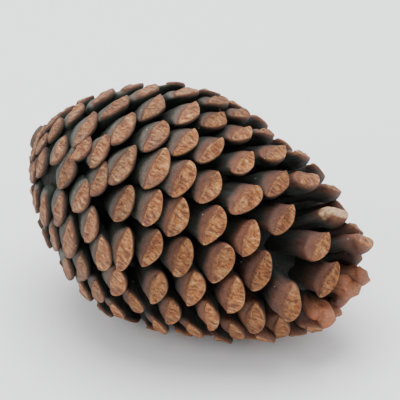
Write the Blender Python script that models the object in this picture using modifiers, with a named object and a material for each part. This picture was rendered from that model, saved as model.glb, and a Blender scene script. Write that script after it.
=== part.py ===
"""An open pine cone lying on its side: one woody body, its scales grown from a spindle core.

The cone is modelled upright about +Z, stalk end down, then laid on the surface with its tip
towards +X. Its origin is the middle of the footprint of its box, on that surface.
"""

import math
import random

import bmesh
import bpy
import numpy as np
from mathutils import Matrix, Vector

# The whole cone, in metres; places along it are shares of its length from the stalk end
CONE_LENGTH = 0.1205
BELLY_RADIUS = 0.0402
BELLY_AT = 0.43
CORE_END = 0.88
STALK_RADIUS = 0.0046
STALK_LENGTH = 0.0010

# One scale of the belly
SCALE_WIDTH = 0.0142
FACE_HEIGHT = 0.0084
KEEL = 0.22  # how far the face reaches below its middle, by its height
ROOT_THICKNESS = 0.0030
ROOT_DEPTH = 0.0022
SIMPLE_BELOW = 0.1  # nearer the stalk the scales taper straight to their roots

# The spiral: each scale is turned this far from the one before
TURN_PER_SCALE = 99.77
START_TURN = 4.5
FIRST_SCALE = -24
LAST_SCALE = 176
MISSING_SCALES = (140, 144, 155, 166)

# The scales stand out more on one side of the tip
TIP_SPLAY = 0.0070
SPLAY_TURN = 262  # degrees round the cone

# A patch of closer packed scales low down near the stalk: share of the length and degrees round
CROWD_START = (0.30, 344.5)
CROWD_DOWN = (-0.052, 15.5)
CROWD_ROUND = (0.0615, 10.6)
CROWD_ROWS = 3
CROWD_COLUMNS = 5
CROWD_ROOM = 0.0075

# How far the scales differ from one another, and in degrees
SIZE_SPREAD = 0.05
LEAN_SPREAD = 4
TWIST_SPREAD = 7
TURN_SPREAD = 1.5

# How the cone lies: turned about its own axis, tip down, on small flat spots
ROLL = 247.2
TIP_DOWN = 16.0
FLAT_DEPTH = 0.0015

SEED = 17


def envelope(share):
    """Radius of the closed surface through the middles of the scale faces, by share of the length."""
    share = min(max(share, 0.0), 1.0)
    if share < BELLY_AT:
        return BELLY_RADIUS * (1 - ((BELLY_AT - share) / BELLY_AT) ** 1.9) ** 0.66
    past = (share - BELLY_AT) / (1 - BELLY_AT)
    return BELLY_RADIUS * (1 - past**1.35) ** 0.58


def slope_angle(share):
    """Angle of the envelope's outline from the cone's axis, in radians."""
    step = 0.004
    rise = envelope(share + step) - envelope(share - step)
    return math.atan2(rise, 2 * step * CONE_LENGTH)


def blend(share, *stops):
    """Reads a value off (share, value) stops, in straight runs between them."""
    places, values = zip(*stops)
    return float(np.interp(share, places, values))


def scale_share(index):
    """The share of the length at which the scale of this number on the spiral sits."""
    low = [(-26, 0.004), (0, 0.074), (30, 0.25), (60, 0.404)]
    high = [(90, 0.518), (120, 0.671), (150, 0.854), (162, 0.93), (180, 0.998)]
    return blend(index, *low, *high)


def on_envelope(share, degrees):
    turn = math.radians(degrees)
    radius = envelope(share)
    return Vector((math.cos(turn) * radius, math.sin(turn) * radius, share * CONE_LENGTH))


def crowd_spots():
    """The closer packed patch, a small slanting grid of (share, degrees)."""
    spots = []
    for row in range(1, CROWD_ROWS + 1):
        for column in range(CROWD_COLUMNS):
            share = CROWD_START[0] + CROWD_DOWN[0] * row + CROWD_ROUND[0] * column
            degrees = CROWD_START[1] + CROWD_DOWN[1] * row + CROWD_ROUND[1] * column
            spots.append((share, degrees))
    return spots


def scale_spots():
    """Every scale's (share, degrees): one spiral, with the crowded patch wedged into it."""
    crowd = crowd_spots()
    taken = [on_envelope(*spot) for spot in crowd]
    spots = list(crowd)
    for index in range(FIRST_SCALE, LAST_SCALE + 1):
        if index in MISSING_SCALES:
            continue
        spot = (scale_share(index), START_TURN + TURN_PER_SCALE * index)
        here = on_envelope(*spot)
        if min((here - there).length for there in taken) > CROWD_ROOM:
            spots.append(spot)
    return sorted(spots)


def core_radius(share):
    """Radius of the spindle in the middle, which ends bluntly near the tip."""
    if share < 0 or share > CORE_END:
        return 0.0
    return envelope(share) * blend(share, (0.0, 0.84), (0.2, 0.76), (0.4, 0.62), (CORE_END, 0.5))


def rooted(point, reach):
    """Goes back along a scale from the point until it is well inside the core."""
    step = 0.0005
    for _ in range(90):
        point = point - reach * step
        if math.hypot(point.x, point.y) < core_radius(point.z / CONE_LENGTH) - ROOT_DEPTH:
            break
    return point


def loft(mesh, rings):
    """Joins rings of the same count with quads and closes both ends."""
    made = [[mesh.verts.new(point) for point in ring] for ring in rings]
    for low, high in zip(made, made[1:]):
        for i, corner in enumerate(low):
            j = (i + 1) % len(low)
            mesh.faces.new((corner, low[j], high[j], high[i]))
    mesh.faces.new(reversed(made[0]))
    return made[-1]


def scale_width(share):
    stops = [(0, 0.45), (0.07, 0.66), (0.16, 0.9), (0.3, 1.02), (0.85, 1.06), (1, 0.9)]
    return SCALE_WIDTH * blend(share, *stops)


def face_height(share):
    return FACE_HEIGHT * blend(share, (0, 0.6), (0.08, 0.92), (0.25, 1.08), (0.5, 1.0), (1.0, 0.95))


def scale_mesh(share, degrees, draw):
    """One woody scale: a tapering body with a rounded diamond of a face cut slantwise on its end."""
    slope = slope_angle(share)
    size = 1 + draw.uniform(-SIZE_SPREAD, SIZE_SPREAD)
    half = size * scale_width(share) / 2
    height = size * face_height(share)
    lean = blend(share, (0, 55), (0.3, 46), (0.6, 36), (0.9, 22), (1, 10))
    lean = math.radians(lean + draw.uniform(-LEAN_SPREAD, LEAN_SPREAD))
    lift = math.radians(blend(share, (0.0, 3), (0.3, 12), (1.0, 16)))
    twist = math.radians(draw.uniform(-TWIST_SPREAD, TWIST_SPREAD))
    turn = math.radians(degrees + draw.uniform(-TURN_SPREAD, TURN_SPREAD))

    outward = Vector((math.cos(turn), math.sin(turn), 0))
    axis = Vector((0, 0, 1))
    along = outward * math.sin(slope) + axis * math.cos(slope)
    normal = outward * math.cos(slope) - axis * math.sin(slope)
    reach = normal * math.cos(lean) + along * math.sin(lean)
    open_side = max(0.0, math.cos(turn - math.radians(SPLAY_TURN))) ** 4
    splay = TIP_SPLAY * open_side * blend(share, (0.6, 0.0), (0.7, 0.5), (1.0, 1.0))
    middle = outward * envelope(share) + axis * share * CONE_LENGTH + reach * splay

    upper = along * math.cos(lean) - normal * math.sin(lean)
    across = upper.cross(reach)
    face_up = along * math.cos(lift) + normal * math.sin(lift)
    face_out = normal * math.cos(lift) - along * math.sin(lift)
    swing = Matrix.Rotation(twist, 3, reach)
    across, face_up, face_out, upper = (swing @ v for v in (across, face_up, face_out, upper))

    outline = [(-1, 0), (-0.45, -KEEL), (0.45, -KEEL), (1, 0), (0.45, 0.5), (-0.45, 0.5)]
    rim = [middle + across * x * half + face_up * y * height for x, y in outline]
    thick = height * math.cos(lean + lift)
    back = height * (math.sin(lean + lift) + 0.25)
    tip = middle + face_up * height / 2
    neck_middle = tip - reach * back - upper * thick * 0.5
    neck = oval(neck_middle, across, upper, half * 0.86, thick * 0.5)
    root_middle = rooted(tip - upper * thick * 0.5 - reach * back, reach)
    root = oval(root_middle, across, upper, half * 0.55, ROOT_THICKNESS / 2)

    mesh = bmesh.new()
    rings = [root, neck, rim] if share > SIMPLE_BELOW else [root, rim]
    top = loft(mesh, rings)
    keel = mesh.verts.new(middle + face_out * height * 0.08)
    for i, corner in enumerate(top):
        mesh.faces.new((corner, top[(i + 1) % len(top)], keel))
    bmesh.ops.recalc_face_normals(mesh, faces=mesh.faces)
    return mesh


def oval(middle, across, upper, half_width, half_thickness):
    """Six corners of a body's section, in the order of the face's outline."""
    corners = [(-1, 0), (-0.5, -1), (0.5, -1), (1, 0), (0.5, 1), (-0.5, 1)]
    return [middle + across * x * half_width + upper * y * half_thickness for x, y in corners]


def wood_material():
    material = bpy.data.materials.new("cone_wood")
    material.use_nodes = True
    shader = material.node_tree.nodes["Principled BSDF"]
    shader.inputs["Base Color"].default_value = (0.28, 0.15, 0.08, 1)
    shader.inputs["Roughness"].default_value = 0.7
    shader.inputs["Metallic"].default_value = 0.0
    return material


def clear_scene():
    for item in list(bpy.data.objects):
        bpy.data.objects.remove(item, do_unlink=True)


def new_collection(name):
    collection = bpy.data.collections.new(name)
    bpy.context.scene.collection.children.link(collection)
    return collection


def core_object(collection):
    """The spindle that the scales grow from, turned from its outline, with the stalk's stub below."""
    outline = [(0.0, CONE_LENGTH * (CORE_END + 0.01))]
    for share in (CORE_END, 0.8, 0.7, 0.58, 0.44, 0.3, 0.2, 0.12, 0.06):
        outline.append((core_radius(share), share * CONE_LENGTH))
    outline += [
        (STALK_RADIUS, 0.0012),
        (STALK_RADIUS * 0.86, -STALK_LENGTH),
        (0.0, -STALK_LENGTH - 0.0008),
    ]
    mesh = bmesh.new()
    corners = [mesh.verts.new((radius, 0, height)) for radius, height in outline]
    for start, end in zip(corners, corners[1:]):
        mesh.edges.new((start, end))
    data = bpy.data.meshes.new("cone")
    mesh.to_mesh(data)
    mesh.free()
    core = bpy.data.objects.new("cone", data)
    collection.objects.link(core)
    screw = core.modifiers.new("turn", "SCREW")
    screw.axis = "Z"
    screw.steps = screw.render_steps = 16
    screw.use_merge_vertices = True
    screw.merge_threshold = 0.0001
    return core


def applied(thing):
    """The object's evaluated mesh in place of its modifiers."""
    graph = bpy.context.evaluated_depsgraph_get()
    data = bpy.data.meshes.new_from_object(thing.evaluated_get(graph), depsgraph=graph)
    thing.modifiers.clear()
    thing.data = data


def keep_outer_skin(thing):
    """Keeps the largest shell: small hollows sealed in between the scales are filled, crumbs dropped."""
    mesh = bmesh.new()
    mesh.from_mesh(thing.data)
    left = set(mesh.faces)
    shells = []
    while left:
        waiting = [left.pop()]
        shell = []
        while waiting:
            face = waiting.pop()
            shell.append(face)
            for edge in face.edges:
                beyond = left.intersection(edge.link_faces) if len(edge.link_faces) == 2 else ()
                left.difference_update(beyond)
                waiting.extend(beyond)
        shells.append(shell)
    shells.sort(key=len)
    loose = [face for shell in shells[:-1] for face in shell]
    bmesh.ops.delete(mesh, geom=loose, context="FACES")
    mesh.to_mesh(thing.data)
    mesh.free()
    print(len(shells) - 1, "hollows and crumbs gone")


def lay_down(thing):
    """Turns the cone on its own axis, lays it on its side and flattens what it lies on."""
    over = Matrix.Rotation(math.radians(90 + TIP_DOWN), 4, "Y")
    thing.data.transform(over @ Matrix.Rotation(math.radians(ROLL), 4, "Z"))
    lowest = min(corner.co.z for corner in thing.data.vertices)
    thing.data.transform(Matrix.Translation((0, 0, -lowest - FLAT_DEPTH)))
    mesh = bmesh.new()
    mesh.from_mesh(thing.data)
    everything = mesh.verts[:] + mesh.edges[:] + mesh.faces[:]
    bmesh.ops.bisect_plane(mesh, geom=everything, plane_no=(0, 0, 1), clear_inner=True)
    open_edges = [edge for edge in mesh.edges if edge.is_boundary]
    bmesh.ops.holes_fill(mesh, edges=open_edges, sides=0)
    mesh.to_mesh(thing.data)
    mesh.free()
    xs, ys, _ = zip(*(corner.co for corner in thing.data.vertices))
    thing.data.transform(Matrix.Translation((-(min(xs) + max(xs)) / 2, -(min(ys) + max(ys)) / 2, 0)))


def main():
    clear_scene()
    parts = new_collection("pine_cone")
    scales = new_collection("scales")
    core = core_object(parts)
    draw = random.Random(SEED)
    for number, (share, degrees) in enumerate(scale_spots()):
        mesh = scale_mesh(share, degrees, draw)
        data = bpy.data.meshes.new(f"scale_{number}")
        mesh.to_mesh(data)
        mesh.free()
        scales.objects.link(bpy.data.objects.new(data.name, data))
    print(len(scales.objects), "scales")
    bpy.context.view_layer.update()
    union = core.modifiers.new("grown together", "BOOLEAN")
    union.operation = "UNION"
    union.operand_type = "COLLECTION"
    union.collection = scales
    union.solver = "MANIFOLD"
    applied(core)
    for item in list(scales.objects):
        bpy.data.objects.remove(item, do_unlink=True)
    bpy.data.collections.remove(scales)
    lay_down(core)
    keep_outer_skin(core)
    core.data.materials.clear()
    core.data.materials.append(wood_material())
    print(len(core.data.polygons), "faces")


main()
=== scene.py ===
import math
import random

import bpy
import numpy as np
from mathutils import Matrix, Vector


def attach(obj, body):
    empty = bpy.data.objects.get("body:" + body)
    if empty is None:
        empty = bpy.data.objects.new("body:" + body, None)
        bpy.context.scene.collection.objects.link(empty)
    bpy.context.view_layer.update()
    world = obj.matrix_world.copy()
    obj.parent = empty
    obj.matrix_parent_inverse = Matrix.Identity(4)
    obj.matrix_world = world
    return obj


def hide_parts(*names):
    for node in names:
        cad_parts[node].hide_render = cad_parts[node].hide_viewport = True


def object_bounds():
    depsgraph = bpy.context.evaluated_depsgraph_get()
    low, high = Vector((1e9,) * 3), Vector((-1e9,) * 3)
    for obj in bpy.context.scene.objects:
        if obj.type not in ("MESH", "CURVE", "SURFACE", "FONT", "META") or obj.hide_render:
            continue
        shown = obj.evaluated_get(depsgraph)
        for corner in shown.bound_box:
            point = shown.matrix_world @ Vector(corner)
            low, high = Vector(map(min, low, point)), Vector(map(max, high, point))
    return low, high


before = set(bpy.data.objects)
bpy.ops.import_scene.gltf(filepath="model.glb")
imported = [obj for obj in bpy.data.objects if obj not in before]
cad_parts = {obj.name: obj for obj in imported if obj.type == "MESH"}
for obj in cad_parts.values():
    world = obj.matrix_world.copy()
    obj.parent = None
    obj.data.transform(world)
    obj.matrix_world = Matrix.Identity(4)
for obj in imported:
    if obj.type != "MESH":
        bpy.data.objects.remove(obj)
cadLow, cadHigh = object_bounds()
print("frame loaded, cone box", [round(v, 4) for v in (cadHigh - cadLow)])


# the solid's own values and its seeded spiral; crowdWidth, topTurn, underTurn, gapeLean, gapeLift and
# topSplay are the scene's alone
cone = {
    "length": 0.1205,
    "bellyRadius": 0.0402,
    "bellyAt": 0.43,
    "scaleWidth": 0.0142,
    "faceHeight": 0.0084,
    "stalkRadius": 0.0046,
    "turnPerScale": 99.77,
    "startTurn": 4.5,
    "firstScale": -24,
    "lastScale": 176,
    "missingScales": (140, 144, 155, 166),
    "crowdStart": (0.30, 344.5),    # closer packed patch: share of the length, degrees round
    "crowdDown": (-0.052, 15.5),
    "crowdRound": (0.0615, 10.6),
    "crowdSize": (3, 5),
    "crowdRoom": 0.0075,    # spiral scales closer to the patch than this give way to it
    "crowdWidth": 0.86,     # width of its scales, as a share of what it would be
    "sizeSpread": 0.05,
    "leanSpread": 4,        # degrees, and the two below
    "twistSpread": 7,
    "turnSpread": 1.5,
    "topTurn": 225,         # the sides that stand on the upper and lower outline, degrees round
    "underTurn": 55,
    "gapeLean": 13,         # how far the scales there gape, degrees
    "gapeLift": 17,
    "roll": 247.2,
    "tipDown": 16.0,
    "tipSplay": 0.0070,
    "topSplay": 0.0025,
    "splayTurn": 262,
    "flatDepth": 0.0015,
    "seed": 17,
}


def blend(share, *stops):
    # value read off (share, value) stops, straight runs between them
    places, values = zip(*stops)
    return float(np.interp(share, places, values))


def envelope(share):
    share = min(max(share, 0.0), 1.0)
    at = cone["bellyAt"]
    if share < at:
        return cone["bellyRadius"] * (1 - ((at - share) / at) ** 1.9) ** 0.66
    past = (share - at) / (1 - at)
    return cone["bellyRadius"] * (1 - past**1.35) ** 0.58


def slopeAngle(share):
    step = 0.004
    rise = envelope(share + step) - envelope(share - step)
    return math.atan2(rise, 2 * step * cone["length"])


def scaleShare(index):
    low = [(-26, 0.004), (0, 0.074), (30, 0.25), (60, 0.404)]
    high = [(90, 0.518), (120, 0.671), (150, 0.854), (162, 0.93), (180, 0.998)]
    return blend(index, *low, *high)


def onEnvelope(spot):
    share, degrees, _ = spot
    turn, radius = math.radians(degrees), envelope(share)
    return Vector((math.cos(turn) * radius, math.sin(turn) * radius, share * cone["length"]))


def scaleSpots():
    # a spiral of (share, degrees, number), with a closer packed patch wedged in near the stalk
    spots = []
    for index in range(cone["firstScale"], cone["lastScale"] + 1):
        if index not in cone["missingScales"]:
            spots.append((scaleShare(index), cone["startTurn"] + cone["turnPerScale"] * index, index))
    (share, degrees), down, along = cone["crowdStart"], cone["crowdDown"], cone["crowdRound"]
    rows, columns = cone["crowdSize"]
    crowd = [
        (share + down[0] * row + along[0] * column, degrees + down[1] * row + along[1] * column, -100)
        for row in range(1, rows + 1) for column in range(columns)
    ]
    taken = [onEnvelope(spot) for spot in crowd]
    free = [s for s in spots if min((onEnvelope(s) - t).length for t in taken) > cone["crowdRoom"]]
    return free + crowd


# single scales that stand apart from the solid's, by number
singleScales = {
    "nudged": {    # along (share), round (degrees), further out (metres)
        18: (-0.008, -6, 0), 25: (0.014, -5, 0),
        148: (0, -8, 0.0052), 158: (0, -20, 0.0022), 176: (0, 0, -0.0036),
        171: (0, 0, -0.0015), 172: (0, 0, -0.0015), 174: (0, 0, -0.0015), 175: (0, 0, -0.0015),
    },
    "added": ((0.276, 348.0, 300), (0.18, 337.5, 301)),    # (share, degrees, number), beside the patch
    "shed": (159, 165, 169, 173),    # they crowd the long scales near the tip
    "narrow": (-100, 25, 300, 301),    # -100 is every scale of the closer packed patch
    "worn": 147,    # its end is bleached and rubbed
}


def nearTurn(turn, degrees, power=1):
    # 1 on the side of the cone that faces this way, down to 0 a quarter turn off
    return max(0.0, math.cos(turn - math.radians(degrees))) ** power


def placeScale(spot, draw):
    # where one scale sits and which way it points; the draws come in the solid's own order
    share, degrees, index = spot
    onward, aside, further = singleScales["nudged"].get(index, (0, 0, 0))
    share += onward
    slope = slopeAngle(share)
    size = 1 + draw.uniform(-cone["sizeSpread"], cone["sizeSpread"])
    lean = blend(share, (0, 55), (0.3, 46), (0.6, 36), (0.9, 22), (1, 10))
    lean = math.radians(lean + draw.uniform(-cone["leanSpread"], cone["leanSpread"]))
    lift = math.radians(blend(share, (0.0, 3), (0.3, 12), (1.0, 16)))
    twist = math.radians(draw.uniform(-cone["twistSpread"], cone["twistSpread"]))
    turn = math.radians(degrees + draw.uniform(-cone["turnSpread"], cone["turnSpread"]) + aside)
    topSide = nearTurn(turn, cone["topTurn"], 2) * blend(share, (0.4, 0), (0.6, 1))
    underSide = nearTurn(turn, cone["underTurn"], 2) * blend(share, (0.3, 0), (0.5, 1), (0.85, 1), (0.9, 0))
    lean -= math.radians(cone["gapeLean"]) * (topSide + 0.9 * underSide)
    lift += math.radians(cone["gapeLift"]) * (topSide + 0.5 * underSide)
    outward = Vector((math.cos(turn), math.sin(turn), 0))
    axis = Vector((0, 0, 1))
    along = outward * math.sin(slope) + axis * math.cos(slope)
    normal = outward * math.cos(slope) - axis * math.sin(slope)
    reach = normal * math.cos(lean) + along * math.sin(lean)
    openSide = nearTurn(turn, cone["splayTurn"], 4)
    splay = cone["tipSplay"] * openSide * blend(share, (0.6, 0.0), (0.7, 0.5), (1.0, 1.0))
    splay += further + cone["topSplay"] * topSide * blend(share, (0.8, 1), (0.86, 0.1))
    upper = along * math.cos(lean) - normal * math.sin(lean)
    across = upper.cross(reach)
    faceUp = along * math.cos(lift) + normal * math.sin(lift)
    swing = Matrix.Rotation(twist, 3, reach)
    narrow = cone["crowdWidth"] if index in singleScales["narrow"] else 1
    wide = blend(share, (0, 0.45), (0.07, 0.66), (0.16, 0.9), (0.3, 1.02), (0.85, 1.06), (1, 0.9))
    tall = blend(share, (0, 0.6), (0.08, 0.92), (0.25, 1.08), (0.5, 1.0), (1.0, 0.95))
    return {
        "index": index,
        "share": share,
        "turn": turn,
        "width": cone["scaleWidth"] * size * narrow * wide,
        "height": cone["faceHeight"] * size * tall,
        "wedge": lean + lift,
        "middle": outward * envelope(share) + axis * share * cone["length"] + reach * splay,
        "reach": reach,
        "upper": swing @ upper,
        "across": swing @ across,
        "faceUp": swing @ faceUp,
    }


def layOver():
    # the cone stands on its stalk end until this turns it on its side
    over = Matrix.Rotation(math.radians(90 + cone["tipDown"]), 4, "Y")
    return over @ Matrix.Rotation(math.radians(cone["roll"]), 4, "Z")


def restShift(places, over):
    # slides the laid cone so that its middle and its rubbed flats match the solid's
    corners = []
    for place in places:
        half, height = place["width"] / 2, place["height"]
        for x, y in [(-1, 0), (-0.45, -0.22), (0.45, -0.22), (1, 0), (0.45, 0.5), (-0.45, 0.5)]:
            corner = place["middle"] + place["across"] * x * half + place["faceUp"] * y * height
            corners.append(over @ corner)
    corners = np.array([c[:] for c in corners])
    low, high = corners.min(0), corners.max(0)
    boxLow, boxHigh = np.array(cadLow[:]), np.array(cadHigh[:])
    slide = (boxLow + boxHigh - low - high) / 2
    return Vector((slide[0], slide[1], -low[2] - cone["flatDepth"]))


spiralDraw = random.Random(cone["seed"])
places = [placeScale(spot, spiralDraw) for spot in sorted(scaleSpots())]
places = [place for place in places if place["index"] not in singleScales["shed"]]
places += [placeScale(spot, spiralDraw) for spot in singleScales["added"]]
places.sort(key=lambda place: place["share"])
layTurn = layOver()
layShift = restShift(places, layTurn)
layMatrix = Matrix.Translation(layShift) @ layTurn
print(len(places), "scales placed, shifted", [round(v, 5) for v in layShift])


# one woody scale: a tapering body, a rounded shoulder and the slanted face
scaleForm = {
    "around": 40,          # points round a section
    "shoulderRings": 9,    # between the face's edge and the neck
    "bodyRings": 6,        # neck to root
    "widthSpread": (0.92, 1.07),
    "heightSpread": (0.9, 1.1),
    "reachSpread": (-0.0005, 0.0012),
    "skewSpread": (-0.25, 0.15),
    "keelSpread": (0.75, 1.4),
    "leanSpread": (-0.09, 0.05),
    "lowTurn": 20,         # the side where the face's pointed end is the lower one, degrees round
    "topTurn": 235,        # the side with thicker, deeper keeled faces
    "sharpEnd": (1.15, 1.45),    # roundness of the face's two ends, 1 is a sharp diamond and 2 an ellipse
    "bluntEnd": (1.5, 2.1),
    "keelShare": 0.2,      # how far the face reaches below its middle, by its height
    "lip": 0.0019,         # blunt thickness of the free edge
    "faceLean": 0.17,      # how far the long way leans over on the low side
    "neckWidth": 0.84,
    "rootWidth": 0.62,
    "rootThickness": 0.0036,
    "edgeRound": 0.0005,
    "crown": 0.00035,      # rise of the face's middle
    "keel": 0.00045,       # rise of the ridge across the face
    "rumple": 0.000204,    # slow unevenness of the face
    "unevenness": 0.00022,    # of the body behind the face
    "faceRings": (0.965, 0.91, 0.83, 0.73, 0.6, 0.44, 0.26, 0.1),    # from its edge to its middle
}


def ringShape(angles, power):
    c, s = np.cos(angles), np.sin(angles)
    return np.sign(c) * np.abs(c) ** (2 / power), np.sign(s) * np.abs(s) ** (2 / power)


def softNoise(points, draw, waves=5, size=0.004):
    # a few random sine waves through the points, about -1 to 1
    total = np.zeros(len(points))
    for _ in range(waves):
        direction = np.array([draw.gauss(0, 1) for _ in range(3)])
        direction *= 2 * math.pi / (size * draw.uniform(0.7, 1.6) * np.linalg.norm(direction))
        total += np.sin(points @ direction + draw.uniform(0, 6.28))
    return total / math.sqrt(waves)


def spindleRadius(share):
    return envelope(share) * blend(share, (0, 0.84), (0.2, 0.74), (0.4, 0.58), (0.6, 0.46), (0.9, 0.34))


def rootDistance(place, start):
    # how far back along the scale the spindle is
    point = Vector(start)
    for step in range(120):
        r = math.hypot(point.x, point.y)
        share = point.z / cone["length"]
        if r < spindleRadius(share) - 0.002 and share < 0.9:
            return step * 0.0005
        point = point - place["reach"] * 0.0005
    return 0.045


def buildScale(place, draw):
    f = scaleForm
    count = f["around"]
    angles = np.arange(count) * 2 * math.pi / count
    fuller = blend(place["share"], (0.05, 1), (0.15, 1.11), (0.3, 1.02), (0.5, 0.92))
    taller = blend(place["share"], (0.15, 1.14), (0.3, 1.08), (0.5, 0.97))
    a = place["width"] / 2 * fuller * draw.uniform(*f["widthSpread"])
    h = place["height"] * taller * draw.uniform(*f["heightSpread"])
    wedge = place["wedge"]
    cosW, sinW = math.cos(wedge), math.sin(wedge)
    lowSide = nearTurn(place["turn"], f["lowTurn"])
    sharp, blunt = draw.uniform(*f["sharpEnd"]), draw.uniform(*f["bluntEnd"])
    swap = min(lowSide * 1.3, 1.0)
    highX, highY = ringShape(angles, sharp * (1 - swap) + blunt * swap)
    lowX, lowY = ringShape(angles, blunt * (1 - swap) + (sharp + 0.4) * swap)
    lowEnd = 0.5 + 0.5 * np.clip(np.cos(angles) * 2.5, -1, 1)
    ox, oy = highX * (1 - lowEnd) + lowX * lowEnd, highY * (1 - lowEnd) + lowY * lowEnd
    front = np.sin(angles) > 0
    skew = draw.uniform(*f["skewSpread"])
    lobes = 1 + 0.035 * np.sin(2 * angles + draw.uniform(0, 6.28))
    lobes = lobes + 0.045 * np.sin(3 * angles + draw.uniform(0, 6.28))
    topSide = nearTurn(place["turn"], f["topTurn"]) * blend(place["share"], (0.3, 0), (0.5, 1))
    keelShare = (f["keelShare"] + 0.17 * topSide) * draw.uniform(*f["keelSpread"])
    lean = f["faceLean"] * lowSide ** 2 - 0.12 * topSide + draw.uniform(*f["leanSpread"])
    fx = (ox + skew * oy * 0.5) * a * lobes
    fy = np.where(front, oy * (0.5 - 0.1 * topSide), oy * keelShare) * h * lobes + fx * lean

    def facePoint(r, lift):
        # face coordinates to (across, upper, reach)
        x, y = fx * r, fy * r
        return np.stack([x, y * cosW - lift * sinW, y * sinW + lift * cosW], 1)

    def faceLift(r):
        # face relief: crown, a ridge across, slow rumple
        x, y = fx * r, fy * r
        dome = f["crown"] * (1 - r**2)
        ridge = f["keel"] * np.exp(-(((y + 0.05 * h) / 0.0011) ** 2)) * (1 - r**4)
        return dome + ridge + f["rumple"] * faceNoise(x, y) * (1 - r**6)

    # direction, phase and length of each wave of the rumple
    waves = [
        (draw.gauss(0, 1), draw.gauss(0, 1), draw.uniform(0, 6.28), draw.uniform(0.003, 0.007))
        for _ in range(5)
    ]

    def faceNoise(x, y):
        total = 0
        for p, q, phase, size in waves:
            k = 2 * math.pi / (size * math.hypot(p, q))
            total = total + np.sin(x * p * k + y * q * k + phase)
        return total / 2.2

    rim = facePoint(1.0, -f["edgeRound"])
    nx, ny = ringShape(angles, 2.3)
    thick = h * cosW
    neckBack = -h * (0.5 * sinW + 0.25)
    neck = np.stack([nx * a * f["neckWidth"], ny * thick * 0.5, np.full(count, neckBack)], 1)
    start = place["middle"] + place["reach"] * neckBack
    back = rootDistance(place, start)
    root = np.stack(
        [nx * a * f["rootWidth"], ny * f["rootThickness"] / 2, np.full(count, neckBack - back)], 1
    )

    rings = []
    for k in range(f["bodyRings"]):
        t = k / f["bodyRings"]
        ease = t * t * (3 - 2 * t)
        ring = root * (1 - t) + neck * t
        ring[:, :2] = root[:, :2] * (1 - ease) + neck[:, :2] * ease
        rings.append(ring)
    run = (rim[:, 2] - neck[:, 2])[:, None]
    ahead = np.array([[0, 0, 1.0]])
    low = np.clip(-ny, 0, 1)[:, None]
    rise = np.concatenate([np.zeros((count, 1)), low * 0.75, np.zeros((count, 1))], 1)
    high = np.clip(ny, 0, 1)[:, None] ** 0.6
    lipSize = f["lip"] * (1 + 0.8 * topSide)
    lip = np.array([[0, sinW, -cosW]]) * lipSize
    neck = neck + np.array([[0, 0.5, 0]]) * lipSize * high
    c1 = neck + ahead * run * (0.34 + 0.26 * low + 0.2 * high)
    c2 = rim - (ahead * (1 - 0.45 * low) + rise) * run * 0.4 * (1 - high) + lip * high
    for k in range(f["shoulderRings"]):
        t = k / f["shoulderRings"]
        bend = c1 * 3 * t * (1 - t) ** 2 + c2 * 3 * t * t * (1 - t)
        rings.append(neck * (1 - t) ** 3 + bend + rim * t**3)
    bodyCount = len(rings)
    rings.append(rim)
    radii = f["faceRings"]
    for r in radii:
        rings.append(facePoint(r, faceLift(r)))
    local = np.concatenate(rings + [np.array([[0, f["crown"] * -sinW, f["crown"] * cosW]])])

    # slow unevenness of the body, none at the face's edge
    ringIndex = np.repeat(np.arange(len(rings)), count)
    body = np.clip((bodyCount - ringIndex) / 5, 0, 1)
    body = np.append(body, 0)
    wobble = softNoise(local, draw, size=0.007) * f["unevenness"] * body
    centreLine = local.copy()
    centreLine[:, 2] = 0
    length = np.linalg.norm(centreLine, axis=1) + 1e-6
    local[:, :2] += centreLine[:, :2] / length[:, None] * wobble[:, None]

    basis = np.array([place["across"][:], place["upper"][:], place["reach"][:]])
    further = draw.uniform(*f["reachSpread"]) * blend(place["share"], (0.2, 0), (0.5, 1))
    middle = place["middle"] + place["reach"] * further
    world = local @ basis + np.array(middle[:])

    # what the materials read: place on the face, depth below it, side of the body
    faceMask = np.append((ringIndex > bodyCount).astype(float), 1.0)
    faceX = np.append(np.tile(fx / a, len(rings)), 0.0)
    faceR = np.concatenate([np.ones((bodyCount + 1) * count), np.repeat(radii, count), [0.0]])
    rimLine = np.append(np.tile(rim[:, 2], len(rings)), 0)
    depth = np.clip(rimLine - local[:, 2], 0, None) * (1 - faceMask)
    side = np.append(np.tile(ny, len(rings)), 0.0)
    coords = np.stack([local[:, 0], local[:, 1] / max(cosW, 0.3), local[:, 2]], 1)
    return {
        "points": world, "rings": len(rings), "faceMask": faceMask, "faceX": faceX, "faceR": faceR,
        "depth": depth, "side": side, "coords": coords,
    }


def scaleFaces(rings, count, offset):
    # quads between rings, a fan on the face and one flat polygon on the root
    i = np.arange(count)
    j = (i + 1) % count
    quads = []
    for k in range(rings - 1):
        low, high = offset + k * count, offset + (k + 1) * count
        quads.append(np.stack([low + i, low + j, high + j, high + i], 1))
    last = offset + (rings - 1) * count
    tip = offset + rings * count
    fan = np.stack([last + i, last + j, np.full(count, tip)], 1)
    return np.concatenate(quads).tolist(), fan.tolist(), [list(range(offset + count - 1, offset - 1, -1))]


def addPiece(name, mesh, material):
    for polygon in mesh.polygons:
        polygon.use_smooth = True
    mesh.materials.append(material)
    piece = bpy.data.objects.new(name, mesh)
    bpy.context.scene.collection.objects.link(piece)
    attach(piece, "root")
    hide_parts("cone")
    print(name, len(mesh.polygons), "faces")


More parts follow.
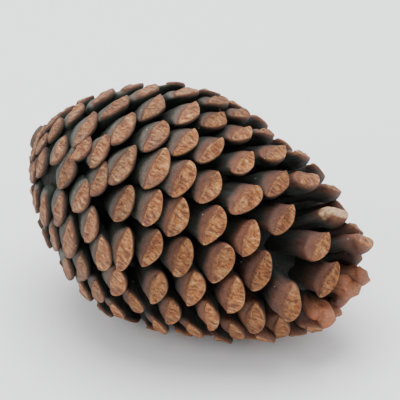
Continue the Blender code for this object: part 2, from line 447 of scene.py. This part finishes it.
def scalePiece(name, group, draw, material):
    # several scales in one mesh, with the numbers their material reads on each point
    built = [buildScale(place, draw) for place in group]
    count = scaleForm["around"]
    faces, offset = [], 0
    for scale in built:
        quads, fan, root = scaleFaces(scale["rings"], count, offset)
        faces += quads + fan + root
        offset += len(scale["points"])
    points = np.concatenate([s["points"] for s in built])
    turn = np.array(layMatrix)[:3, :3]
    points = points @ turn.T + np.array(layMatrix.translation[:])
    points[:, 2] = np.maximum(points[:, 2], 0.0)
    mesh = bpy.data.meshes.new(name)
    mesh.from_pydata(points.tolist(), [], faces)
    mesh.update()

    def store(key, values, kind="FLOAT"):
        layer = mesh.attributes.new(key, kind, "POINT")
        field = "vector" if kind == "FLOAT_VECTOR" else "value"
        layer.data.foreach_set(field, np.ascontiguousarray(values, dtype=np.float32).ravel())

    for key in ("faceMask", "faceX", "faceR", "depth", "side"):
        store(key, np.concatenate([s[key] for s in built]))
    offsets = [np.array([draw.uniform(-1, 1) for _ in range(3)]) for _ in built]
    store("scaleCoords", np.concatenate([s["coords"] + o for s, o in zip(built, offsets)]), "FLOAT_VECTOR")
    tones = [2 if place["index"] == singleScales["worn"] else draw.uniform(0, 1) for place in group]
    store("tone", np.concatenate([np.full(len(s["points"]), t) for s, t in zip(built, tones)]))
    store("share", np.concatenate([np.full(len(s["points"]), p["share"]) for s, p in zip(built, group)]))
    print(name, len(group), "scales")
    addPiece(name, mesh, material)


def newMaterial(name):
    material = bpy.data.materials.new(name)
    material.use_nodes = True
    return material, material.node_tree, material.node_tree.nodes["Principled BSDF"]


def wire(tree, value, socket):
    # a socket or a plain value into a socket
    if isinstance(value, bpy.types.NodeSocket):
        tree.links.new(value, socket)
    else:
        socket.default_value = value


def maths(tree, operation, a, b=0.0, clamp=False):
    node = tree.nodes.new("ShaderNodeMath")
    node.operation = operation
    node.use_clamp = clamp
    wire(tree, a, node.inputs[0])
    wire(tree, b, node.inputs[1])
    return node.outputs[0]


def ramp(tree, value, low, high, outLow=0.0, outHigh=1.0):
    # smooth step from low to high
    node = tree.nodes.new("ShaderNodeMapRange")
    node.interpolation_type = "SMOOTHSTEP"
    wire(tree, value, node.inputs["Value"])
    for key, number in (("From Min", low), ("From Max", high), ("To Min", outLow), ("To Max", outHigh)):
        wire(tree, number, node.inputs[key])
    return node.outputs["Result"]


def mixColour(tree, factor, a, b):
    node = tree.nodes.new("ShaderNodeMix")
    node.data_type = "RGBA"
    wire(tree, factor, node.inputs["Factor"])
    wire(tree, a, node.inputs[6])
    wire(tree, b, node.inputs[7])
    return node.outputs[2]


def noise(tree, vector, scale, detail=3.0, rough=0.55):
    node = tree.nodes.new("ShaderNodeTexNoise")
    wire(tree, vector, node.inputs["Vector"])
    wire(tree, scale, node.inputs["Scale"])
    node.inputs["Detail"].default_value = detail
    node.inputs["Roughness"].default_value = rough
    return node.outputs["Fac"]


def stretched(tree, vector, x, y, z):
    node = tree.nodes.new("ShaderNodeVectorMath")
    node.operation = "MULTIPLY"
    wire(tree, vector, node.inputs[0])
    node.inputs[1].default_value = (x, y, z)
    return node.outputs[0]


def readPoint(tree, name, kind="Fac"):
    node = tree.nodes.new("ShaderNodeAttribute")
    node.attribute_name = name
    return node.outputs[kind]


def newGroup(name, inputs, outputs):
    group = bpy.data.node_groups.new(name, "ShaderNodeTree")
    for label, kind, value in inputs:
        socket = group.interface.new_socket(name=label, in_out="INPUT", socket_type=kind)
        if value is not None:
            socket.default_value = value
    for label, kind in outputs:
        group.interface.new_socket(name=label, in_out="OUTPUT", socket_type=kind)
    return group, group.nodes.new("NodeGroupInput"), group.nodes.new("NodeGroupOutput")


def placeGroup(tree, group, **values):
    node = tree.nodes.new("ShaderNodeGroup")
    node.node_tree = group
    for label, value in values.items():
        wire(tree, value, node.inputs[label])
    return node


def fibreGroup():
    # fine fibres that run along the wood, and a slow mottle
    group, source, target = newGroup(
        "woodFibre",
        [("Vector", "NodeSocketVector", None), ("Scale", "NodeSocketFloat", 1.0)],
        [("Fibre", "NodeSocketFloat"), ("Mottle", "NodeSocketFloat")],
    )
    long = stretched(group, source.outputs["Vector"], 1600, 1600, 150)
    fine = noise(group, long, source.outputs["Scale"], 4.0, 0.6)
    wide = stretched(group, source.outputs["Vector"], 330, 330, 180)
    slow = noise(group, wide, source.outputs["Scale"], 3.0)
    wire(group, ramp(group, fine, 0.3, 0.7), target.inputs["Fibre"])
    wire(group, ramp(group, slow, 0.32, 0.68), target.inputs["Mottle"])
    return group


def depthShadeAndSpecksGroup():
    # painted shade that darkens the depth between the scales, with a few pale specks of dust and resin
    group, source, target = newGroup(
        "paintedDepthShadeAndDust",
        [
            ("Vector", "NodeSocketVector", None), ("Depth", "NodeSocketFloat", 0.0),
            ("Reach", "NodeSocketFloat", 0.006),
        ],
        [("PaintedShade", "NodeSocketFloat"), ("Specks", "NodeSocketFloat")],
    )
    patch = noise(group, stretched(group, source.outputs["Vector"], 300, 300, 300), 1.0, 4.0, 0.6)
    # painted shade: darker the further a point lies behind the face
    jitter = maths(group, "MULTIPLY", maths(group, "SUBTRACT", patch, 0.5), source.outputs["Reach"])
    level = maths(group, "ADD", source.outputs["Depth"], jitter)
    wire(group, maths(group, "DIVIDE", level, source.outputs["Reach"], clamp=True), target.inputs["PaintedShade"])
    cells = group.nodes.new("ShaderNodeTexVoronoi")
    wire(group, stretched(group, source.outputs["Vector"], 420, 420, 420), cells.inputs["Vector"])
    cells.inputs["Scale"].default_value = 1.0
    dots = ramp(group, cells.outputs["Distance"], 0.13, 0.07)
    rare = group.nodes.new("ShaderNodeSeparateColor")
    wire(group, cells.outputs["Color"], rare.inputs[0])
    few = ramp(group, rare.outputs[0], 0.86, 0.92)
    wire(group, maths(group, "MULTIPLY", dots, few), target.inputs["Specks"])
    return group


def wrinkleGroup():
    # short cracks and raised threads that run from the keel to the free edge of a face
    group, source, target = newGroup(
        "faceWrinkles",
        [("Vector", "NodeSocketVector", None), ("Fineness", "NodeSocketFloat", 1.0)],
        [("Cracks", "NodeSocketFloat"), ("Threads", "NodeSocketFloat")],
    )
    bend = noise(group, stretched(group, source.outputs["Vector"], 240, 240, 240), 1.0, 2.0)
    pushed = group.nodes.new("ShaderNodeVectorMath")
    pushed.operation = "MULTIPLY_ADD"
    wire(group, bend, pushed.inputs[0])
    pushed.inputs[1].default_value = (0.0026, 0.0014, 0.0014)
    wire(group, source.outputs["Vector"], pushed.inputs[2])
    drawn = stretched(group, pushed.outputs[0], 1150, 230, 230)
    lines = noise(group, drawn, source.outputs["Fineness"], 3.0, 0.65)
    wire(group, ramp(group, lines, 0.5, 0.38), target.inputs["Cracks"])
    wire(group, ramp(group, lines, 0.52, 0.64), target.inputs["Threads"])
    return group


def wearAndHighlightGroup():
    # pale line along the edge of a face, broken up: partly rubbed wear, partly painted highlight
    group, source, target = newGroup(
        "edgeWearAndHighlight",
        [
            ("Vector", "NodeSocketVector", None), ("Radius", "NodeSocketFloat", 0.0),
            ("Start", "NodeSocketFloat", 0.84),
        ],
        [("WearAndHighlight", "NodeSocketFloat")],
    )
    uneven = noise(group, stretched(group, source.outputs["Vector"], 420, 420, 420), 1.0, 3.0)
    shifted = maths(group, "ADD", source.outputs["Radius"], maths(group, "MULTIPLY", uneven, 0.3))
    start = maths(group, "ADD", source.outputs["Start"], 0.16)
    wire(group, ramp(group, shifted, start, maths(group, "ADD", start, 0.1)), target.inputs["WearAndHighlight"])
    return group


def borderGroup():
    # where the face's colour gives way to the body's, ragged and well inside the edge on the keel side
    group, source, target = newGroup(
        "raggedBorder",
        [
            ("Vector", "NodeSocketVector", None), ("Radius", "NodeSocketFloat", 0.0),
            ("Edge", "NodeSocketFloat", 0.95), ("Raggedness", "NodeSocketFloat", 0.3),
        ],
        [("Inside", "NodeSocketFloat")],
    )
    uneven = noise(group, stretched(group, source.outputs["Vector"], 380, 380, 380), 1.0, 4.0, 0.6)
    push = maths(group, "MULTIPLY", maths(group, "SUBTRACT", uneven, 0.5), source.outputs["Raggedness"])
    level = maths(group, "ADD", source.outputs["Radius"], push)
    edge = source.outputs["Edge"]
    outer, inner = maths(group, "ADD", edge, 0.1), maths(group, "SUBTRACT", edge, 0.2)
    wire(group, ramp(group, level, outer, inner), target.inputs["Inside"])
    return group


fibres, depthShadeAndSpecks, wrinkles = fibreGroup(), depthShadeAndSpecksGroup(), wrinkleGroup()
wearAndHighlight, border = wearAndHighlightGroup(), borderGroup()
print("shader groups ready")

scaleFinish = {
    "faceWarm": (0.29, 0.085, 0.02, 1),
    "faceTan": (0.44, 0.18, 0.05, 1),
    "facePink": (0.185, 0.064, 0.036, 1),
    "faceGrey": (0.195, 0.122, 0.082, 1),
    # painted shade colour for the keel side of a face
    "keelShadeBrown": (0.14, 0.055, 0.026, 1),
    # pale tan for threads and worn edges, also used as painted highlight on edges and ridges
    "tanAndHighlight": (0.53, 0.30, 0.125, 1),
    "crackBrown": (0.065, 0.023, 0.011, 1),
    "shoulderBrown": (0.105, 0.045, 0.026, 1),
    "shoulderGrey": (0.125, 0.118, 0.096, 1),
    "bodyRed": (0.085, 0.028, 0.015, 1),
    "rimRed": (0.17, 0.062, 0.03, 1),
    "tipRed": (0.33, 0.112, 0.052, 1),
    "wornPale": (0.46, 0.29, 0.165, 1),
    # the next three colours are painted shade for the depth between the scales and for the spindle, the
    # third towards the stalk end
    "shadeDark": (0.012, 0.009, 0.006, 1),
    "shadeGreen": (0.011, 0.016, 0.012, 1),
    "baseShade": (0.034, 0.041, 0.033, 1),
    "dust": (0.42, 0.42, 0.38, 1),
    "roughness": 0.62,
    "shadeReach": 0.0028,     # how far behind the face the painted shade closes, belly scales; the next is the same at the tip
    "tipShadeReach": 0.0088,
    "bumpStrength": 0.75,
    "bumpDistance": 0.0004,
}


def faceColours(tree, f, coords, faceX, faceR, side, tone, share, tipEnd):
    # warm and tan fields with wrinkles, a pale edge, part rubbed wear and part painted highlight, that is
    # wider at the keel, a painted highlight along a ridge and painted shade on the keel side
    patches = ramp(tree, noise(tree, stretched(tree, coords, 320, 260, 260), 1.0, 4.0, 0.6), 0.42, 0.66)
    fields = mixColour(tree, patches, f["faceWarm"], f["faceTan"])
    pinkPlace = ramp(tree, noise(tree, stretched(tree, coords, 170, 170, 170), 1.0, 2.0), 0.45, 0.6)
    lowPart = ramp(tree, maths(tree, "MULTIPLY", faceX, faceR), -0.3, 0.8, 0.15, 1.0)
    pinkTone = maths(tree, "MULTIPLY", lowPart, ramp(tree, tone, 0.1, 0.9, 0.4, 1.0))
    pinkShare = maths(tree, "MULTIPLY", pinkPlace, pinkTone)
    fields = mixColour(tree, pinkShare, fields, f["facePink"])
    baseEnd = ramp(tree, share, 0.5, 0.3)
    weathered = maths(tree, "MULTIPLY", baseEnd, ramp(tree, patches, 0.2, 1.0, 0.25, 0.65))
    fields = mixColour(tree, weathered, fields, f["faceGrey"])
    lines = placeGroup(tree, wrinkles, Vector=coords, Fineness=1.0)
    inner = ramp(tree, faceR, 1.0, 0.85)
    cracks = maths(tree, "MULTIPLY", lines.outputs["Cracks"], maths(tree, "MULTIPLY", inner, 0.75))
    fields = mixColour(tree, maths(tree, "MULTIPLY", lines.outputs["Threads"], 0.6), fields, f["tanAndHighlight"])
    fields = mixColour(tree, cracks, fields, f["crackBrown"])
    # pale edge: partly rubbed wear, partly painted highlight, wider at the keel
    start = ramp(tree, side, -0.5, 0.3, 0.8, 0.92)
    rubbedAndLitEdge = placeGroup(tree, wearAndHighlight, Vector=coords, Radius=faceR, Start=start)
    fields = mixColour(tree, maths(tree, "MULTIPLY", rubbedAndLitEdge.outputs["WearAndHighlight"], 0.8), fields, f["tanAndHighlight"])
    # painted highlight: a broken pale line across the face along its ridge
    bendNoise = noise(tree, stretched(tree, coords, 210, 210, 210), 1.0, 2.0)
    upDown = maths(tree, "MULTIPLY", side, faceR)
    offCentre = maths(tree, "ADD", upDown, maths(tree, "MULTIPLY", bendNoise, 1.2))
    across = maths(tree, "ABSOLUTE", maths(tree, "SUBTRACT", offCentre, 0.3))
    ridgePlace = ramp(tree, noise(tree, stretched(tree, coords, 450, 450, 450), 1.0, 2.0), 0.47, 0.6)
    ridge = maths(tree, "MULTIPLY", ramp(tree, across, 0.15, 0.05), ridgePlace)
    fields = mixColour(tree, maths(tree, "MULTIPLY", ridge, 0.6), fields, f["tanAndHighlight"])
    fields = mixColour(tree, maths(tree, "MULTIPLY", tipEnd, 0.85), fields, f["tipRed"])
    # painted shade: the face darkens towards its keel side
    slopeShade = ramp(tree, upDown, -0.9, 0.4, 0.62, 0.0)
    fields = mixColour(tree, slopeShade, fields, f["keelShadeBrown"])
    bleached = maths(tree, "MULTIPLY", ramp(tree, tone, 1.2, 1.8), ramp(tree, patches, 0.0, 0.6, 0.55, 1.0))
    fields = mixColour(tree, bleached, fields, f["wornPale"])
    relief = maths(tree, "SUBTRACT", lines.outputs["Threads"], lines.outputs["Cracks"])
    return fields, maths(tree, "ADD", relief, maths(tree, "MULTIPLY", ridge, 0.6))


def bodyColours(tree, f, coords, depth, side, share, grain):
    # brown just behind the face that darkens with depth, grey-green on the low shoulder, then painted
    # shade, near black, in the depth between the scales
    reach = ramp(tree, share, 0.62, 0.86, f["shadeReach"], f["tipShadeReach"])
    # painted shade closes in sooner behind the face on the free edge's side, under the lip
    shadedLipSide = maths(tree, "MULTIPLY", ramp(tree, side, 0.0, 0.4), ramp(tree, share, 0.9, 0.75))
    sunk = maths(tree, "MULTIPLY", depth, maths(tree, "ADD", maths(tree, "MULTIPLY", shadedLipSide, 1.8), 1.0))
    shadeAndSpecksNode = placeGroup(tree, depthShadeAndSpecks, Vector=coords, Depth=sunk, Reach=reach)
    baseEnd = ramp(tree, share, 0.6, 0.3)
    lowerSide = maths(tree, "MAXIMUM", ramp(tree, side, 0.3, -0.5), ramp(tree, share, 0.5, 0.3, 0.0, 0.8))
    near = ramp(tree, depth, 0.0, 0.0013)
    grey = maths(tree, "MULTIPLY", maths(tree, "MULTIPLY", lowerSide, baseEnd), near)
    rimBrown = mixColour(tree, ramp(tree, depth, 0.0, 0.0026), f["rimRed"], f["bodyRed"])
    brown = mixColour(tree, baseEnd, rimBrown, f["shoulderBrown"])
    shoulder = mixColour(tree, grey, brown, f["shoulderGrey"])
    mottled = mixColour(tree, maths(tree, "MULTIPLY", grain.outputs["Mottle"], 0.4), shoulder, f["bodyRed"])
    tipEnd = ramp(tree, share, 0.935, 0.95, 0.0, 0.8)
    mottled = mixColour(tree, tipEnd, mottled, f["tipRed"])
    deepShade = mixColour(tree, grain.outputs["Mottle"], f["shadeDark"], f["shadeGreen"])
    # the painted shade is a little lighter towards the stalk end
    deepShade = mixColour(tree, ramp(tree, share, 0.35, 0.15), deepShade, f["baseShade"])
    return mixColour(tree, shadeAndSpecksNode.outputs["PaintedShade"], mottled, deepShade), shadeAndSpecksNode


def scaleWoodMaterial():
    f = scaleFinish
    material, tree, shader = newMaterial("scaleWood")
    coords = readPoint(tree, "scaleCoords", "Vector")
    face = readPoint(tree, "faceMask")
    faceX, faceR = readPoint(tree, "faceX"), readPoint(tree, "faceR")
    depth = readPoint(tree, "depth")
    side = readPoint(tree, "side")
    tone = readPoint(tree, "tone")
    share = readPoint(tree, "share")
    tipEnd = ramp(tree, share, 0.935, 0.95)
    grain = placeGroup(tree, fibres, Vector=coords, Scale=1.0)
    faceColour, faceRelief = faceColours(tree, f, coords, faceX, faceR, side, tone, share, tipEnd)
    bodyColour, shadeAndSpecksNode = bodyColours(tree, f, coords, depth, side, share, grain)
    edge = ramp(tree, side, -0.6, 0.1, 0.8, ramp(tree, share, 0.25, 0.45, 0.95, 1.12))
    ragged = placeGroup(tree, border, Vector=coords, Radius=faceR, Edge=edge, Raggedness=0.46)
    inside = maths(tree, "MULTIPLY", ragged.outputs["Inside"], face)
    colour = mixColour(tree, inside, bodyColour, faceColour)
    wornBody = maths(tree, "MULTIPLY", ramp(tree, tone, 1.2, 1.8), ramp(tree, depth, 0.0042, 0.0026))
    wornBody = maths(tree, "MULTIPLY", wornBody, ramp(tree, grain.outputs["Mottle"], 0.0, 0.5, 0.4, 0.9))
    wornBody = maths(tree, "MULTIPLY", wornBody, ramp(tree, side, 0.3, -0.1))
    colour = mixColour(tree, wornBody, colour, f["wornPale"])
    toneShade = ramp(tree, tone, 0.0, 1.0, 0.74, 1.16)
    fibreShade = ramp(tree, grain.outputs["Fibre"], 0.0, 1.0, 0.74, 1.22)
    shade = tree.nodes.new("ShaderNodeVectorMath")
    shade.operation = "SCALE"
    wire(tree, colour, shade.inputs[0])
    wire(tree, maths(tree, "MULTIPLY", toneShade, fibreShade), shade.inputs["Scale"])
    specks = maths(tree, "MULTIPLY", shadeAndSpecksNode.outputs["Specks"], 0.8)
    dusted = mixColour(tree, specks, shade.outputs[0], f["dust"])
    wire(tree, dusted, shader.inputs["Base Color"])

    rough = maths(tree, "ADD", maths(tree, "MULTIPLY", grain.outputs["Fibre"], 0.16), f["roughness"] - 0.08)
    wire(tree, rough, shader.inputs["Roughness"])
    shader.inputs["Specular IOR Level"].default_value = 0.35

    bump = tree.nodes.new("ShaderNodeBump")
    bump.inputs["Strength"].default_value = f["bumpStrength"]
    bump.inputs["Distance"].default_value = f["bumpDistance"]
    relief = maths(tree, "MULTIPLY", faceRelief, face)
    height = maths(tree, "ADD", maths(tree, "MULTIPLY", grain.outputs["Fibre"], 0.35), relief)
    wire(tree, height, bump.inputs["Height"])
    wire(tree, bump.outputs["Normal"], shader.inputs["Normal"])
    return material


def spindleMaterial():
    f = scaleFinish
    material, tree, shader = newMaterial("spindleWood")
    position = tree.nodes.new("ShaderNodeTexCoord").outputs["Object"]
    grain = placeGroup(tree, fibres, Vector=position, Scale=1.0)
    # painted shade: the spindle is near black, in the same shade colours as the depth between the scales
    deepShade = mixColour(tree, grain.outputs["Mottle"], f["shadeDark"], f["shadeGreen"])
    wire(tree, deepShade, shader.inputs["Base Color"])
    wire(tree, ramp(tree, grain.outputs["Fibre"], 0, 1, 0.65, 0.85), shader.inputs["Roughness"])
    bump = tree.nodes.new("ShaderNodeBump")
    bump.inputs["Strength"].default_value = 0.4
    bump.inputs["Distance"].default_value = 0.0004
    wire(tree, grain.outputs["Fibre"], bump.inputs["Height"])
    wire(tree, bump.outputs["Normal"], shader.inputs["Normal"])
    return material


stalkFinish = {
    "brokenWood": (0.30, 0.18, 0.09, 1),
    "bark": (0.09, 0.055, 0.035, 1),
    "ringCount": 5.0,
}


def stalkMaterial():
    # broken-off stalk: torn pale wood in rings, dark bark round it
    f = stalkFinish
    material, tree, shader = newMaterial("stalkScar")
    radius = readPoint(tree, "scarRadius")
    position = tree.nodes.new("ShaderNodeTexCoord").outputs["Object"]
    grain = placeGroup(tree, fibres, Vector=position, Scale=1.0)
    wound = maths(tree, "MULTIPLY", radius, f["ringCount"] * 6.28)
    waved = maths(tree, "ADD", wound, grain.outputs["Mottle"])
    rings = ramp(tree, maths(tree, "SINE", waved), -0.6, 0.8)
    wood = mixColour(tree, maths(tree, "MULTIPLY", rings, 0.6), f["brokenWood"], f["bark"])
    colour = mixColour(tree, ramp(tree, radius, 0.7, 0.85), wood, f["bark"])
    wire(tree, colour, shader.inputs["Base Color"])
    wire(tree, ramp(tree, grain.outputs["Fibre"], 0, 1, 0.7, 0.9), shader.inputs["Roughness"])
    bump = tree.nodes.new("ShaderNodeBump")
    bump.inputs["Strength"].default_value = 0.5
    bump.inputs["Distance"].default_value = 0.0004
    wire(tree, maths(tree, "ADD", rings, grain.outputs["Fibre"]), bump.inputs["Height"])
    wire(tree, bump.outputs["Normal"], shader.inputs["Normal"])
    return material


scaleWood = scaleWoodMaterial()
shapeDraw = random.Random(cone["seed"] + 100)
third = math.ceil(len(places) / 3)
for name, group in (
    ("scalesStalkEnd", places[:third]),
    ("scalesBelly", places[third:2 * third]),
    ("scalesTip", places[2 * third:]),
):
    scalePiece(name, group, shapeDraw, scaleWood)


def turnedPiece(name, outline, steps, material, roughen, draw):
    # outline of (radius, height) pairs turned about the cone's own axis, a little uneven
    rings = []
    for radius, height in outline:
        angles = np.arange(steps) * 2 * math.pi / steps
        across, along = radius * np.cos(angles), radius * np.sin(angles)
        rings.append(np.stack([across, along, np.full(steps, height)], 1))
    points = np.concatenate(rings)
    push = softNoise(points, draw, size=0.006) * roughen
    flat = np.linalg.norm(points[:, :2], axis=1) + 1e-6
    points[:, :2] *= (1 + push / flat)[:, None].clip(0.3, 2)
    points[:, 2] += softNoise(points, draw, size=0.004) * roughen * 0.6
    faces, i = [], np.arange(steps)
    j = (i + 1) % steps
    for k in range(len(outline) - 1):
        low, high = k * steps, (k + 1) * steps
        faces += np.stack([low + j, low + i, high + i, high + j], 1).tolist()
    faces += [list(range(steps)), list(range(len(points) - 1, len(points) - 1 - steps, -1))]
    world = points @ np.array(layMatrix)[:3, :3].T + np.array(layMatrix.translation[:])
    mesh = bpy.data.meshes.new(name)
    mesh.from_pydata(world.tolist(), [], faces)
    mesh.update()
    layer = mesh.attributes.new("scarRadius", "FLOAT", "POINT")
    layer.data.foreach_set("value", (flat / cone["stalkRadius"]).astype(np.float32))
    addPiece(name, mesh, material)


shares = np.linspace(0.02, 0.88, 40)
spindleOutline = [(spindleRadius(s), s * cone["length"]) for s in shares]
turnedPiece("spindle", spindleOutline, 64, spindleMaterial(), 0.0006, shapeDraw)

stalkR = cone["stalkRadius"]
scarOutline = [(stalkR * 0.9, 0.004), (stalkR, 0.0015), (stalkR * 0.97, 0.0002), (stalkR * 0.88, -0.0008)]
scarOutline += [(stalkR * r, -0.001 + 0.0004 * (1 - r)) for r in (0.8, 0.65, 0.5, 0.35, 0.2, 0.06)]
turnedPiece("stalkScar", scarOutline, 40, stalkMaterial(), 0.00025, shapeDraw)


stage = {
    "floorColour": (0.95, 0.953, 0.957, 1),
    "floorSize": 6.0,
    "skyColour": (0.94, 0.97, 1, 1),
    "skyStrength": 1.15,
    "topPower": 12.0,
    "topSize": 0.9,
    "topPlace": (-0.1, 0.15, 0.9),
    "fillPower": 2.5,
    "fillSize": 0.8,
    "fillPlace": (-0.5, -0.8, 0.6),
    "lightAim": (0, 0, 0.03),
    "azimuth": 25.5,        # the camera's place round the cone and above it, degrees
    "elevation": 34.0,
    "distance": 1.1,
    "aimHeight": 0.04,
    "aimUp": 0.0045,        # small moves of the aim in the picture
    "aimRight": 0.0003,
    "pixelsPerMetre": 3000.0,
    "imageWidth": 400,
    "sensorWidth": 36,
}


def makeFloor():
    mesh = bpy.data.meshes.new("floor")
    s = stage["floorSize"] / 2
    mesh.from_pydata([(-s, -s, 0), (s, -s, 0), (s, s, 0), (-s, s, 0)], [], [(0, 1, 2, 3)])
    floor = bpy.data.objects.new("floor", mesh)
    bpy.context.scene.collection.objects.link(floor)
    material, tree, shader = newMaterial("paleFloor")
    shader.inputs["Base Color"].default_value = stage["floorColour"]
    shader.inputs["Roughness"].default_value = 0.9
    mesh.materials.append(material)


def areaLight(name, power, size, place):
    data = bpy.data.lights.new(name, "AREA")
    data.energy, data.size, data.shape = power, size, "DISK"
    lamp = bpy.data.objects.new(name, data)
    bpy.context.scene.collection.objects.link(lamp)
    lamp.location = place
    lamp.rotation_euler = (Vector(stage["lightAim"]) - Vector(place)).to_track_quat("-Z", "Y").to_euler()


def makeLight():
    world = bpy.data.worlds.new("paleRoom")
    bpy.context.scene.world = world
    world.use_nodes = True
    background = world.node_tree.nodes["Background"]
    background.inputs["Color"].default_value = stage["skyColour"]
    background.inputs["Strength"].default_value = stage["skyStrength"]
    areaLight("topSoftbox", stage["topPower"], stage["topSize"], stage["topPlace"])
    areaLight("frontFill", stage["fillPower"], stage["fillSize"], stage["fillPlace"])


def makeCamera():
    a, e = math.radians(stage["azimuth"]), math.radians(stage["elevation"])
    back = Vector((math.sin(a) * math.cos(e), -math.cos(a) * math.cos(e), math.sin(e)))
    up = Vector((-math.sin(e) * math.sin(a), math.sin(e) * math.cos(a), math.cos(e)))
    right = Vector((math.cos(a), math.sin(a), 0))
    data = bpy.data.cameras.new("camera")
    data.sensor_width = stage["sensorWidth"]
    data.lens = stage["sensorWidth"] * stage["distance"] * stage["pixelsPerMetre"] / stage["imageWidth"]
    camera = bpy.data.objects.new("camera", data)
    bpy.context.scene.collection.objects.link(camera)
    aim = Vector((0, 0, stage["aimHeight"])) + up * stage["aimUp"] + right * stage["aimRight"]
    camera.location = aim + back * stage["distance"]
    camera.rotation_euler = (-back).to_track_quat("-Z", "Y").to_euler()
    data.clip_start, data.clip_end = 0.01, 20
    bpy.context.scene.camera = camera


makeFloor()
makeLight()
makeCamera()
print("floor, light and camera ready")
